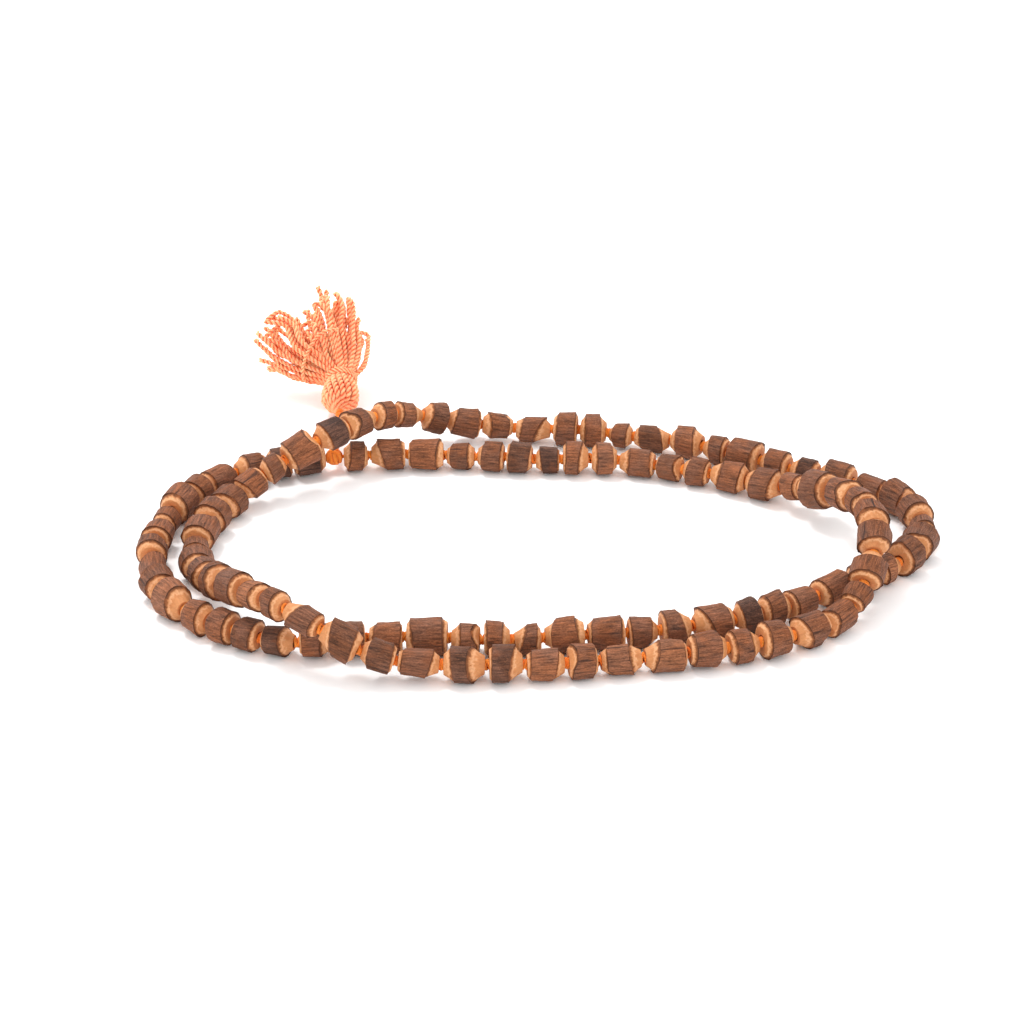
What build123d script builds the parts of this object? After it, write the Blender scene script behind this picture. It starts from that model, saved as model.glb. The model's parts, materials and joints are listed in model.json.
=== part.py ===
"""A string of 108 wooden prayer beads, laid doubled in an oval, closed by a knot and a tassel.

Millimetres, +Z up. The string lies on the plane z = 0, and the origin is at the middle of
the space that it takes up, on that plane. +X runs along the oval's long way, and the tassel
lies at the -X +Y end.
"""

import os
import random
from math import cos, pi, radians, sin, sqrt, tan

from build123d import *

# ---------------------------------------------------------------------------
# Driving dimensions
# ---------------------------------------------------------------------------
BEAD_COUNT = 108                # the full round of the string
QUARTERS = 4                    # the string is counted in four lots of beads
TURNING_PER_QUARTER = 12        # beads of each lot that are made as pieces of their own

BEAD_DIAMETER = 7.7             # an average bead, over the bark
BEAD_DIAMETER_SPREAD = 1.1      # the thinnest and thickest beads are this much off the average
BEAD_LENGTH_SPREAD = 0.26       # share by which a bead is longer or shorter than the average
BARK_EDGE = 0.35                # the bark is cut back this far where the bare cone begins
CONE_SHARE = (0.12, 0.30)       # least and greatest length of a cut cone, as a share of the bead
TIP_SHARE = (0.48, 0.72)        # least and greatest radius of a bead's end, as a share of the bead
BIG_BEAD = 15                   # place of the one big bead, on top of a crossing
BIG_BEAD_DIAMETER = 9.4
BIG_BEAD_LENGTH_SHARE = 1.35    # its length, against an average bead

THREAD_DIAMETER = 0.9           # the cotton thread
BORE_CLEARANCE = 0.85           # all round the thread, in a bead's bore
GAP_CLEARANCE = 0.36            # between a spacer knot and the bead each side of it
KNOT_LENGTH = 0.6               # a spacer knot, along the thread
KNOT_OVERSIZE = 0.5             # a spacer knot is this much wider than the bore
REST_SHIFT = 0.4                # how far a bead may settle up or down on its thread

JOIN_KNOT_DIAMETER = 4.4        # the knot that closes the loop
JOIN_TAIL = 0.9                 # each thread end stops this far from the middle of that knot
JOIN_CLEARANCE = 0.4            # from that knot to the first and the last bead

NECK_DIAMETER = 1.8             # the doubled thread that holds the tassel
NECK_LENGTH = 23.0
NECK_GAP = 0.3                  # free turn between the closing knot and the neck
HEAD_DIAMETER = 9.0             # the folded yarns above the binding
HEAD_LENGTH = 8.4
HEAD_BASE_DIAMETER = 2.2        # where the neck meets the head
HEAD_TILT = 22.0                # the head lies back, at this angle to the floor
HEAD_GAP = 2.2                  # free turn between the neck and the head
CORE_DIAMETER = 7.0             # the yarns where they are bound
BINDING_DIAMETER = 8.4
BINDING_WIDTH = 2.2
BINDING_CLEARANCE = 0.05
SKIRT_LENGTH = 24.0             # from the binding to the middle of the fanned ends
SKIRT_WIDTH = 31.0              # across the fanned ends
SKIRT_THICKNESS = 14.0
SKIRT_TILT = 43.0               # the skirt stands up from the floor at this angle
SKIRT_LEAN = 28.0               # and leans this far round towards -X

# ---------------------------------------------------------------------------
# The thread's route
# ---------------------------------------------------------------------------
# Chosen points along the middle of the thread: once round the inner turn, then once round
# the outer one. The string lies on the floor but for three crossings, where it climbs over
# its own other turn. The first and the last point are the closing knot.
ROUTE_BEAD_DIAMETER = 7.7       # the bead size that the points below are given for
ROUTE = [
    (-51.0, 22.0, 4.0), (-34.0, 23.5, 4.0), (-15.5, 23.0, 4.0), (2.5, 20.5, 4.0),
    (21.5, 21.0, 4.0), (39.5, 14.5, 4.0), (55.0, 7.5, 4.0), (64.5, -1.0, 7.0),
    (71.5, -12.0, 12.0), (76.5, -24.5, 15.0), (77.5, -37.0, 14.0), (74.5, -48.0, 9.0),
    (69.0, -56.5, 4.0), (58.5, -65.5, 4.0), (42.0, -71.5, 4.0), (23.0, -75.0, 4.0),
    (3.5, -78.0, 4.0), (-15.5, -79.0, 4.0), (-31.0, -78.5, 4.5), (-43.0, -77.5, 8.5),
    (-52.5, -74.0, 13.5), (-61.0, -66.5, 13.5), (-69.0, -56.5, 11.0), (-75.5, -46.5, 7.5),
    (-79.5, -36.0, 4.5), (-81.5, -22.0, 4.0), (-78.0, -8.5, 4.0), (-72.5, 2.0, 4.5),
    (-66.0, 6.5, 8.0), (-58.0, 10.5, 12.0), (-48.5, 18.5, 13.5), (-40.0, 27.5, 13.0),
    (-31.0, 35.0, 9.5), (-20.0, 38.5, 5.5), (-6.0, 38.5, 4.0), (12.0, 36.5, 4.0),
    (31.0, 33.0, 4.0), (47.0, 25.0, 4.0), (63.0, 15.5, 4.0), (78.5, 7.0, 4.0),
    (88.5, -1.5, 4.0), (92.0, -12.5, 4.0), (90.0, -24.0, 4.0), (83.0, -33.5, 4.0),
    (72.5, -40.5, 4.0), (60.0, -50.0, 4.0), (45.5, -59.0, 4.0), (28.0, -63.5, 4.0),
    (9.0, -66.0, 4.0), (-10.0, -68.0, 4.0), (-27.5, -66.5, 4.0), (-43.0, -67.0, 4.0),
    (-57.0, -69.0, 4.0), (-70.0, -63.0, 4.0), (-81.5, -54.5, 4.0), (-88.5, -42.5, 4.0),
    (-91.5, -28.0, 4.0), (-90.0, -13.5, 4.0), (-86.0, 0.0, 4.0), (-78.0, 11.5, 4.0),
    (-66.0, 18.5, 4.0), (-51.0, 22.0, 4.0),
]

draws = random.Random(108)
os.makedirs("parts", exist_ok=True)


def keep(piece, name):
    """Label a finished piece and write it to its own file."""
    piece.part.label = name
    export_step(piece.part, f"parts/{name}.step")


def show_hinge(name, centre, axis):
    """Print where a piece turns: a point of its axis, and the axis."""
    print("hinge", name, tuple(round(v, 4) for v in centre), tuple(round(v, 6) for v in axis))


def stepped(start, towards, distance):
    """The point that lies this distance from start on the way to another point."""
    return start + (towards - start).normalized() * distance


# The route grows with the beads, so that its turns stay clear of each other.
scale = BEAD_DIAMETER / ROUTE_BEAD_DIAMETER
route = [Vector(*point) * scale for point in ROUTE]
join_point = route[0]
route[0] = stepped(join_point, route[1], JOIN_TAIL)
route[-1] = stepped(join_point, route[-2], JOIN_TAIL)


def corner_radius(before, corner, after):
    """An arc as large as the two runs beside a corner allow."""
    turn = (corner - before).get_angle(after - corner)
    shorter_run = min((corner - before).length, (after - corner).length)
    return 0.45 * shorter_run / tan(radians(turn) / 2)


radii = [corner_radius(*route[i - 1:i + 2]) for i in range(1, len(route) - 1)]
print("thread bends, tightest first:", [round(radius, 1) for radius in sorted(radii)][:8])

with BuildLine() as thread_line:
    FilletPolyline(*route, radius=radii)
thread_path = thread_line.wires()[0]
thread_length = thread_path.length
print("thread length:", round(thread_length, 1))


def on_thread(distance):
    """The point that lies this far along the thread."""
    return thread_path.position_at(distance, position_mode=PositionMode.LENGTH)


# ---------------------------------------------------------------------------
# Thread, from one side of the closing knot round to the other
# ---------------------------------------------------------------------------
with BuildPart() as thread_loop:
    with BuildSketch(Plane(thread_path @ 0, z_dir=thread_path % 0)):
        Circle(THREAD_DIAMETER / 2)
    sweep(path=thread_path)
keep(thread_loop, "thread_loop")
thread_section = pi * (THREAD_DIAMETER / 2) ** 2
print("thread volume over section x length:",
      round(thread_loop.part.volume / (thread_section * thread_length), 4))

# ---------------------------------------------------------------------------
# Where each bead sits
# ---------------------------------------------------------------------------
bore_radius = THREAD_DIAMETER / 2 + BORE_CLEARANCE
bead_gap = KNOT_LENGTH + 2 * GAP_CLEARANCE
end_room = JOIN_KNOT_DIAMETER / 2 - JOIN_TAIL + JOIN_CLEARANCE
wood_length = thread_length - 2 * end_room - (BEAD_COUNT - 1) * bead_gap

length_weights = [
    1 + draws.uniform(-BEAD_LENGTH_SPREAD, BEAD_LENGTH_SPREAD) for _ in range(BEAD_COUNT)
]
bead_diameters = [
    BEAD_DIAMETER + draws.uniform(-BEAD_DIAMETER_SPREAD, BEAD_DIAMETER_SPREAD)
    for _ in range(BEAD_COUNT)
]
length_weights[BIG_BEAD] = BIG_BEAD_LENGTH_SHARE
bead_diameters[BIG_BEAD] = BIG_BEAD_DIAMETER * scale


def bead_outline(length, radius):
    """Half of a bead's section, as (along, outwards) points: a barrel with a cone cut on each end."""
    cone_one = draws.uniform(*CONE_SHARE) * length
    cone_two = draws.uniform(*CONE_SHARE) * length
    tip_one = draws.uniform(*TIP_SHARE) * radius
    tip_two = draws.uniform(*TIP_SHARE) * radius
    bare = radius - BARK_EDGE
    half = length / 2
    return [
        (-half, bore_radius),
        (-half, tip_one),
        (cone_one - half, bare),
        (cone_one - half + BARK_EDGE, radius),
        (half - cone_two - BARK_EDGE, radius),
        (half - cone_two, bare),
        (half, tip_two),
        (half, bore_radius),
    ]


def settle(centre, axis, outline):
    """Move a bead that is near the floor up or down on its thread, until it rests or is held."""
    tilt = sqrt(1 - axis.Z ** 2)
    lowest = min(centre.Z - abs(along * axis.Z) - out * tilt for along, out in outline)
    if lowest > 2 * REST_SHIFT:
        return centre
    return centre + Vector(0, 0, max(-REST_SHIFT, min(REST_SHIFT, -lowest)))


beads = []
lengths = [wood_length * weight / sum(length_weights) for weight in length_weights]
here = end_room
for length, diameter in zip(lengths, bead_diameters):
    start = on_thread(here)
    middle = on_thread(here + length / 2)
    end = on_thread(here + length)
    axis = (end - start).normalized()
    outline = bead_outline(length, diameter / 2)
    beads.append((settle((start + end) / 4 + middle / 2, axis, outline), axis, outline))
    here += length + bead_gap


def turn_bead(centre, axis, outline):
    """Turn one bead about its bore, where it sits on the thread."""
    side = axis.cross(Vector(0, 0, 1)).normalized()
    with BuildSketch(Plane(centre, x_dir=axis, z_dir=side)) as section:
        with BuildLine():
            Polyline(*outline, close=True)
        make_face()
    revolve(section.sketch, axis=Axis(centre, axis))


# ---------------------------------------------------------------------------
# Beads: in each quarter every second bead is a piece of its own, and the rest share a file
# ---------------------------------------------------------------------------
quarter_count = BEAD_COUNT // QUARTERS
for quarter in range(QUARTERS):
    first = quarter * quarter_count
    turning = [first + 1 + 2 * step for step in range(TURNING_PER_QUARTER)]
    others = [place for place in range(first, first + quarter_count) if place not in turning]
    for place in turning:
        with BuildPart() as bead:
            turn_bead(*beads[place])
        keep(bead, f"bead_{place + 1:03d}")
        centre, axis, _ = beads[place]
        show_hinge(f"bead_{place + 1:03d}", centre, axis)
    with BuildPart() as quarter_beads:
        for place in others:
            turn_bead(*beads[place])
    keep(quarter_beads, f"beads_quarter_{quarter + 1}")

# ---------------------------------------------------------------------------
# Spacer knots: one between each bead and the next
# ---------------------------------------------------------------------------
knot_radius = bore_radius + KNOT_OVERSIZE / 2
knot_planes = []
for place in range(BEAD_COUNT - 1):
    centre, axis, outline = beads[place]
    next_centre, next_axis, next_outline = beads[place + 1]
    bead_end = centre + axis * lengths[place] / 2
    next_start = next_centre - next_axis * lengths[place + 1] / 2
    knot_planes.append(Plane((bead_end + next_start) / 2, z_dir=axis + next_axis))
with BuildPart() as spacer_knots:
    with Locations(*knot_planes):
        Cylinder(knot_radius, KNOT_LENGTH)
keep(spacer_knots, "spacer_knots")

# ---------------------------------------------------------------------------
# Closing knot, over both thread ends
# ---------------------------------------------------------------------------
with BuildPart() as closing_knot:
    with Locations(join_point):
        Sphere(JOIN_KNOT_DIAMETER / 2)
keep(closing_knot, "closing_knot")

# ---------------------------------------------------------------------------
# Tassel: neck, head, binding and skirt
# ---------------------------------------------------------------------------
neck_start = join_point + Vector(0, JOIN_KNOT_DIAMETER / 2 + NECK_GAP, 0)
lift_point = neck_start + Vector(0, NECK_LENGTH + HEAD_GAP / 2, 0)
head_axis = Vector(0, cos(radians(HEAD_TILT)), sin(radians(HEAD_TILT)))
head_base = lift_point + head_axis * HEAD_GAP / 2
head_plane = Plane(head_base, x_dir=Vector(1, 0, 0), z_dir=head_axis)
skirt_axis = Vector(
    -sin(radians(SKIRT_LEAN)) * cos(radians(SKIRT_TILT)),
    cos(radians(SKIRT_LEAN)) * cos(radians(SKIRT_TILT)),
    sin(radians(SKIRT_TILT)),
)
show_hinge("tassel_swing", join_point, Vector(0, 0, 1))
show_hinge("tassel_lift", lift_point, Vector(1, 0, 0))

with BuildPart() as tassel_neck:
    with BuildSketch(Plane(neck_start, z_dir=Vector(0, 1, 0))):
        Circle(NECK_DIAMETER / 2)
    extrude(amount=NECK_LENGTH)
    fillet(tassel_neck.edges(), NECK_DIAMETER / 4)
keep(tassel_neck, "tassel_neck")

head_side = Plane(head_base, x_dir=head_axis, z_dir=Vector(1, 0, 0))
with BuildPart() as tassel_head:
    with BuildSketch(head_side):
        with BuildLine():
            Line((0, 0), (0, HEAD_BASE_DIAMETER / 2))
            Spline(
                (0, HEAD_BASE_DIAMETER / 2),
                (HEAD_LENGTH / 2, HEAD_DIAMETER / 2),
                (HEAD_LENGTH, CORE_DIAMETER / 2),
            )
            Line((HEAD_LENGTH, CORE_DIAMETER / 2), (HEAD_LENGTH, 0))
            Line((HEAD_LENGTH, 0), (0, 0))
        make_face()
    revolve(axis=Axis(head_base, head_axis))
keep(tassel_head, "tassel_head")

binding_plane = head_plane.offset(HEAD_LENGTH)
with BuildPart() as tassel_binding:
    with BuildSketch(binding_plane):
        Circle(BINDING_DIAMETER / 2)
        Circle(CORE_DIAMETER / 2 + BINDING_CLEARANCE, mode=Mode.SUBTRACT)
    extrude(amount=BINDING_WIDTH)
keep(tassel_binding, "tassel_binding")

skirt_top = head_plane.offset(HEAD_LENGTH + BINDING_WIDTH)
skirt_across = skirt_axis.cross(Vector(0, 0, 1)).normalized()
skirt_end = Plane(
    skirt_top.origin + skirt_axis * SKIRT_LENGTH, x_dir=skirt_across, z_dir=skirt_axis
)
with BuildPart() as tassel_skirt:
    with BuildSketch(binding_plane):
        Circle(CORE_DIAMETER / 2)
    extrude(amount=BINDING_WIDTH)
    with BuildSketch(skirt_top):
        Circle(CORE_DIAMETER / 2)
    with BuildSketch(skirt_end):
        Ellipse(SKIRT_WIDTH / 2, SKIRT_THICKNESS / 2)
    loft()
keep(tassel_skirt, "tassel_skirt")
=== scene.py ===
# %% [markdown]
# # Mala prayer beads
# A mala is a loop of 108 beads that are counted one by one between thumb and finger. These beads
# are short lengths of thin stem with the bark left on, bored down the middle and knotted apart on
# orange cotton. The loop is closed by a knot that carries a tassel.
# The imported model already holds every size, place and joint, so the first step is to load it.
# Everything after this only gives it its looks, and never moves or resizes it.

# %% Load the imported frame
import json
import math
import random

import bmesh
import bpy
from mathutils import Matrix, Vector
from mathutils.kdtree import KDTree

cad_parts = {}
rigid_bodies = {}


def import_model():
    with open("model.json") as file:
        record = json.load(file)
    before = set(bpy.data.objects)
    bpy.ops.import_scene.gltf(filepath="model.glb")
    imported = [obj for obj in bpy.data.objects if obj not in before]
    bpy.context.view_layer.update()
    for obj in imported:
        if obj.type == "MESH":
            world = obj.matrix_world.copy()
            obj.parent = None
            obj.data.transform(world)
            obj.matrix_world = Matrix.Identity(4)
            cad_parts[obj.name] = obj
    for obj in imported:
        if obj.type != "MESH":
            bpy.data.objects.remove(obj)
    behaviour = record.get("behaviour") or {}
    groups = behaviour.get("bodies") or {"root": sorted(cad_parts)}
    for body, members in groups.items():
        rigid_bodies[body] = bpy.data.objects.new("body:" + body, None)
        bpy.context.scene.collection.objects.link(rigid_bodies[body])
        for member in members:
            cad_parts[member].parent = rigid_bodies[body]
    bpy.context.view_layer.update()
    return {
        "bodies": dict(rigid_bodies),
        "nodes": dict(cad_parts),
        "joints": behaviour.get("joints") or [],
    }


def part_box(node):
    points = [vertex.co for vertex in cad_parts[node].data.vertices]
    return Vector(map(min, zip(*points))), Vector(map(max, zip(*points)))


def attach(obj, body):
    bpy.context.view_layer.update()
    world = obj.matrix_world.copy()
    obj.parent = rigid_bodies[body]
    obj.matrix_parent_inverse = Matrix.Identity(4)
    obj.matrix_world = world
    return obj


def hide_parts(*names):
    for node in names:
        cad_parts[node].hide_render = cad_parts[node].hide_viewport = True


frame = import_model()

MM = 0.001
draws = random.Random(108)

# %% [markdown]
# ## Camera
# A long lens from a fair distance keeps near and far beads at almost the same size, which is how
# small goods are usually shown. The camera looks down at 28 degrees, so the doubled loop reads as
# a flat oval and the cut ends of the beads still show.

# %% Camera
VIEW_ANGLE = math.radians(28.0)
VIEW_DISTANCE = 0.6827
VIEW_SIDE = -0.0065
LENS = 98.4
SENSOR_WIDTH = 36.0


def add_object(name, data):
    """A new object, put in the scene."""
    made = bpy.data.objects.new(name, data)
    bpy.context.scene.collection.objects.link(made)
    return made


camera_data = bpy.data.cameras.new("studio_camera")
camera_data.lens = LENS
camera_data.sensor_width = SENSOR_WIDTH
camera_data.clip_start = 0.01
camera = add_object("studio_camera", camera_data)
camera.location = (
    VIEW_SIDE,
    -VIEW_DISTANCE * math.cos(VIEW_ANGLE),
    VIEW_DISTANCE * math.sin(VIEW_ANGLE),
)
camera.rotation_euler = (math.pi / 2 - VIEW_ANGLE, 0.0, 0.0)
bpy.context.scene.camera = camera
print("camera at", tuple(round(part, 4) for part in camera.location))

# %% [markdown]
# ## Small helpers for finishes
# A finish is a graph of shader nodes. A few helpers keep the graphs short: one adds a node with
# its sockets set, and the others use it for arithmetic, for mixing and for noise. Colours are
# written as they look on a screen, from 0 to 255, and turned into the linear values that a shader
# works in.

# %% Colour and node helpers
def paint(red, green, blue):
    """A screen colour, 0 to 255 a channel, as a linear colour."""
    shares = (red / 255, green / 255, blue / 255)
    linear = [s / 12.92 if s <= 0.04045 else ((s + 0.055) / 1.055) ** 2.4 for s in shares]
    return (*linear, 1.0)


def set_sockets(tree, made, sockets):
    """Set a node's sockets, each to a number, a colour or another node's output."""
    for name, value in dict(sockets).items():
        if isinstance(value, bpy.types.NodeSocket):
            tree.links.new(value, made.inputs[name])
        else:
            made.inputs[name].default_value = value


def node(tree, kind, sockets=(), **settings):
    """Add one node, with its settings and its sockets."""
    made = tree.nodes.new(kind)
    for name, value in settings.items():
        setattr(made, name, value)
    set_sockets(tree, made, sockets)
    return made


def sums(tree, operation, first, second=0.0):
    """The result of one arithmetic step."""
    return node(tree, "ShaderNodeMath", {0: first, 1: second}, operation=operation).outputs[0]


def between(tree, value, low, high, to_low=0.0, to_high=1.0):
    """Stretch a value's range from low..high to another range, held at its ends."""
    sockets = {0: value, 1: low, 2: high, 3: to_low, 4: to_high}
    return node(tree, "ShaderNodeMapRange", sockets).outputs[0]


def mix(tree, share, first, second, blend="MIX"):
    """Mix two colours by a share."""
    sockets = {0: share, 6: first, 7: second}
    return node(tree, "ShaderNodeMix", sockets, data_type="RGBA", blend_type=blend).outputs[2]


def ramp(tree, value, stops):
    """A colour for each value, through a few named stops."""
    made = node(tree, "ShaderNodeValToRGB", {0: value})
    elements = made.color_ramp.elements
    for place, (at, colour) in enumerate(stops):
        stop = elements[place] if place < 2 else elements.new(at)
        stop.position = at
        stop.color = colour
    return made.outputs[0]


def noise(tree, place, scale, detail=3.0, rough=0.55):
    """Soft random patches, from 0 to 1."""
    sockets = {"Vector": place, "Scale": scale, "Detail": detail, "Roughness": rough}
    return node(tree, "ShaderNodeTexNoise", sockets).outputs["Fac"]


def stretched(tree, place, scale):
    """The same place, measured with a different step along each axis."""
    return node(tree, "ShaderNodeMapping", {"Vector": place, "Scale": scale}).outputs[0]


def scaled(tree, colour, amount):
    """The same colour, made lighter or darker by a factor."""
    sockets = {0: colour, "Scale": amount}
    return node(tree, "ShaderNodeVectorMath", sockets, operation="SCALE").outputs[0]


def new_finish(name):
    """An empty finish: its material, its graph and its surface shader."""
    material = bpy.data.materials.new(name)
    material.use_nodes = True
    tree = material.node_tree
    return material, tree, tree.nodes["Principled BSDF"]


print("helpers ready")

# %% [markdown]
# ## Floor and light
# The beads lie on a plain white table under a soft square light, a little behind and to the left,
# so short soft shadows fall towards the viewer. A bright, even sky fills the rest, and a weak
# light in front lifts the near sides a little. A hard lamp would show more relief, but soft light
# is what keeps bark looking dry and matt.

# %% Sky and lights
SKY_STRENGTH = 1.35

bpy.context.scene.view_settings.view_transform = "Standard"

world = bpy.data.worlds.new("soft_sky")
world.use_nodes = True
sky = world.node_tree.nodes["Background"]
sky.inputs["Color"].default_value = (1.0, 1.0, 1.0, 1.0)
sky.inputs["Strength"].default_value = SKY_STRENGTH
bpy.context.scene.world = world


def softbox(name, place, width, watts):
    """A square light aimed at the middle of the beads, its place and width in metres."""
    light = bpy.data.lights.new(name, "AREA")
    light.size = width
    light.energy = watts
    lamp = add_object(name, light)
    lamp.location = place
    lamp.rotation_euler = Vector(place).to_track_quat("Z", "Y").to_euler()


softbox("key_softbox", (-0.26, 0.24, 0.74), 0.20, 3.4)
softbox("front_softbox", (0.25, -0.65, 0.55), 0.6, 0.3)
print("sky at", SKY_STRENGTH, "and two softboxes")

# %% Floor
TABLE_WIDTH = 3.0

bpy.ops.object.select_all(action="DESELECT")
bpy.ops.mesh.primitive_plane_add(size=TABLE_WIDTH, location=(0.0, 0.0, 0.0))
floor = bpy.context.object
floor.name = "table_top"
paper, paper_tree, paper_shader = new_finish("white_table")
paper_place = node(paper_tree, "ShaderNodeTexCoord").outputs["Object"]
paper_grain = noise(paper_tree, paper_place, 900.0)
paper_tint = mix(paper_tree, paper_grain, paint(252, 252, 252), paint(255, 255, 255))
set_sockets(paper_tree, paper_shader, {
    "Base Color": paper_tint,
    "Roughness": 0.9,
    "Specular IOR Level": 0.1,
})
floor.data.materials.append(paper)
print("table", TABLE_WIDTH, "m wide")

# %% [markdown]
# ## Orange cotton
# Thread and tassel yarn are the same dyed cotton. Cotton scatters light under its surface and has
# a soft bloom at grazing angles, so a little subsurface light and sheen do more than any colour.
# The fine bump runs along each tube's own length, as its fibres do. On plied yarn the crown of
# each ply gets a painted highlight and the grooves get painted shade, so its mesh stores how near
# each point is to a crown, and the finish reads that. Thread is too thin for this to show.

# %% Cotton finish
THREAD_RANGE = (0.26, 0.56)
YARN_RANGE = (0.47, 1.16)


def cotton_finish(name, deep, bright, fibre, plied):
    """Dyed cotton with fine fibres. If plied, each crown gets a painted highlight and the grooves
    painted shade.
    """
    material, tree, shader = new_finish(name)
    place = node(tree, "ShaderNodeTexCoord").outputs["Object"]
    along = node(tree, "ShaderNodeUVMap").outputs[0]
    fibres = noise(tree, stretched(tree, along, fibre), 1.0, 4.0, 0.6)
    patches = noise(tree, place, 210.0, 2.0)
    streaked = sums(tree, "MULTIPLY", fibres, 0.35)
    shade = sums(tree, "ADD", streaked, sums(tree, "MULTIPLY", patches, 0.60))
    low, high = THREAD_RANGE
    if plied:
        # Painted highlight on each ply's crown and painted shade in the grooves between plies.
        painted_ply_light = node(tree, "ShaderNodeAttribute", attribute_name="painted_ply_light").outputs["Fac"]
        shade = sums(tree, "ADD", shade, sums(tree, "MULTIPLY", painted_ply_light, 0.65))
        low, high = YARN_RANGE
    colour = mix(tree, between(tree, shade, low, high), deep, bright)
    bump = node(tree, "ShaderNodeBump", {"Strength": 0.7, "Distance": 0.00012, "Height": fibres})
    set_sockets(tree, shader, {
        "Base Color": colour,
        "Normal": bump.outputs[0],
        "Roughness": 0.82,
        "Specular IOR Level": 0.25,
        "Sheen Weight": 0.30,
        "Sheen Roughness": 0.4,
        "Sheen Tint": paint(255, 205, 170),
        "Subsurface Weight": 0.20,
        "Subsurface Radius": (1.0, 0.35, 0.15),
        "Subsurface Scale": 0.0005,
    })
    return material


DEEP_THREAD = paint(222, 88, 8)
BRIGHT_THREAD = paint(246, 142, 56)
# Deep yarn is both its own darker random tone and the painted shade in the grooves; pale yarn is
# both its own lighter tone and the painted highlight on the crowns.
DEEP_YARN_AND_SHADE = paint(242, 68, 10)
PALE_YARN_AND_HIGHLIGHT = paint(250, 192, 144)
THREAD_FIBRE = (900.0, 5.0, 1.0)
YARN_FIBRE = (60.0, 4.0, 1.0)
thread_finish = cotton_finish("orange_thread", DEEP_THREAD, BRIGHT_THREAD, THREAD_FIBRE, False)
yarn_finish = cotton_finish("orange_yarn", DEEP_YARN_AND_SHADE, PALE_YARN_AND_HIGHLIGHT, YARN_FIBRE, True)
print("cotton finishes:", thread_finish.name, yarn_finish.name)

# %% [markdown]
# ## Thread
# One thread goes round twice, over itself at three crossings, and back to the knot. It is a NURBS
# line with chosen points as its controls: such a line is smooth everywhere, while a line through
# rounded corners would look like bent wire. A round bevel gives it its thickness. The route is a
# list of places because nothing else describes how a string happens to lie.

# %% The thread's route
THREAD_DIAMETER = 0.9 * MM
ROUTE_MM = [
    (-51, 22, 4), (-34, 23.5, 4), (-15.5, 23, 4), (2.5, 20.5, 4), (21.5, 21, 4),
    (39.5, 14.5, 4), (55, 7.5, 4), (64.5, -1, 7), (71.5, -12, 12), (76.5, -24.5, 15),
    (77.5, -37, 14), (74.5, -48, 9), (69, -56.5, 4), (58.5, -65.5, 4), (42, -71.5, 4),
    (23, -75, 4), (3.5, -78, 4), (-15.5, -79, 4), (-31, -78.5, 4.5), (-43, -77.5, 8.5),
    (-52.5, -74, 13.5), (-61, -66.5, 13.5), (-69, -56.5, 11), (-75.5, -46.5, 7.5), (-79.5, -36, 4.5),
    (-81.5, -22, 4), (-78, -8.5, 4), (-72.5, 2, 4.5), (-66, 6.5, 8), (-58, 10.5, 12),
    (-48.5, 18.5, 13.5), (-40, 27.5, 13), (-31, 35, 9.5), (-20, 38.5, 5.5), (-6, 38.5, 4),
    (12, 36.5, 4), (31, 33, 4), (47, 25, 4), (63, 15.5, 4), (78.5, 7, 4),
    (88.5, -1.5, 4), (92, -12.5, 4), (90, -24, 4), (83, -33.5, 4), (72.5, -40.5, 4),
    (60, -50, 4), (45.5, -59, 4), (28, -63.5, 4), (9, -66, 4), (-10, -68, 4),
    (-27.5, -66.5, 4), (-43, -67, 4), (-57, -69, 4), (-70, -63, 4), (-81.5, -54.5, 4),
    (-88.5, -42.5, 4), (-91.5, -28, 4), (-90, -13.5, 4), (-86, 0, 4), (-78, 11.5, 4),
    (-66, 18.5, 4), (-51, 22, 4),
]
ROUTE = [tuple(part * MM for part in place) for place in ROUTE_MM]
print(len(ROUTE), "places on the thread")

# %% The thread itself
def nurbs_line(name, places, steps=8):
    """A smooth line with these places as its controls."""
    curve = bpy.data.curves.new(name, "CURVE")
    curve.dimensions = "3D"
    curve.resolution_u = steps
    spline = curve.splines.new("NURBS")
    spline.points.add(len(places) - 1)
    for point, place in zip(spline.points, places):
        point.co = (*place, 1.0)
    spline.order_u = 3
    spline.use_endpoint_u = True
    return add_object(name, curve)


def points_along(line):
    """The points that a line passes through, read from a copy with no thickness."""
    mesh = bpy.data.meshes.new_from_object(line)
    points = [vertex.co.copy() for vertex in mesh.vertices]
    bpy.data.meshes.remove(mesh)
    return points


thread = nurbs_line("thread_look", ROUTE)
bpy.context.view_layer.update()
thread_points = points_along(thread)
thread_length = sum((b - a).length for a, b in zip(thread_points, thread_points[1:]))
thread.data.bevel_depth = THREAD_DIAMETER / 2
thread.data.bevel_resolution = 2
thread.data.use_fill_caps = True
thread.data.materials.append(thread_finish)
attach(thread, "root")
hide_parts("thread_loop")
print(f"thread {thread_length:.3f} m through {len(thread_points)} points")

# %% [markdown]
# ## Where each bead and knot lies
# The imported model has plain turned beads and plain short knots, each at its real place. A turned
# solid's axis is the direction that most of its flat face looks along, because its curved side
# looks every way in turn. Its two ends and its widest point then give its length and thickness.

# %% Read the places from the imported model
def solids_of(name):
    """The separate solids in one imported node, each as its faces, in the same order every run."""
    work = bmesh.new()
    work.from_mesh(frame["nodes"][name].data)
    bmesh.ops.remove_doubles(work, verts=work.verts, dist=1e-7)
    work.verts.index_update()
    work.faces.index_update()
    seen = set()
    solids = []
    for first in work.faces:
        waiting = [first]
        solid = []
        while waiting:
            face = waiting.pop()
            if face.index not in seen:
                seen.add(face.index)
                solid.append(face)
                waiting.extend(other for edge in face.edges for other in edge.link_faces)
        if solid:
            solids.append(solid)
    return work, solids


nearest_on_thread = KDTree(len(thread_points))
for place, point in enumerate(thread_points):
    nearest_on_thread.insert(point, place)
nearest_on_thread.balance()
# No axis here is square to this direction, so it tells each way from its opposite.
HALF_WAY = Vector((0.31, 0.52, 0.79))


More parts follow.
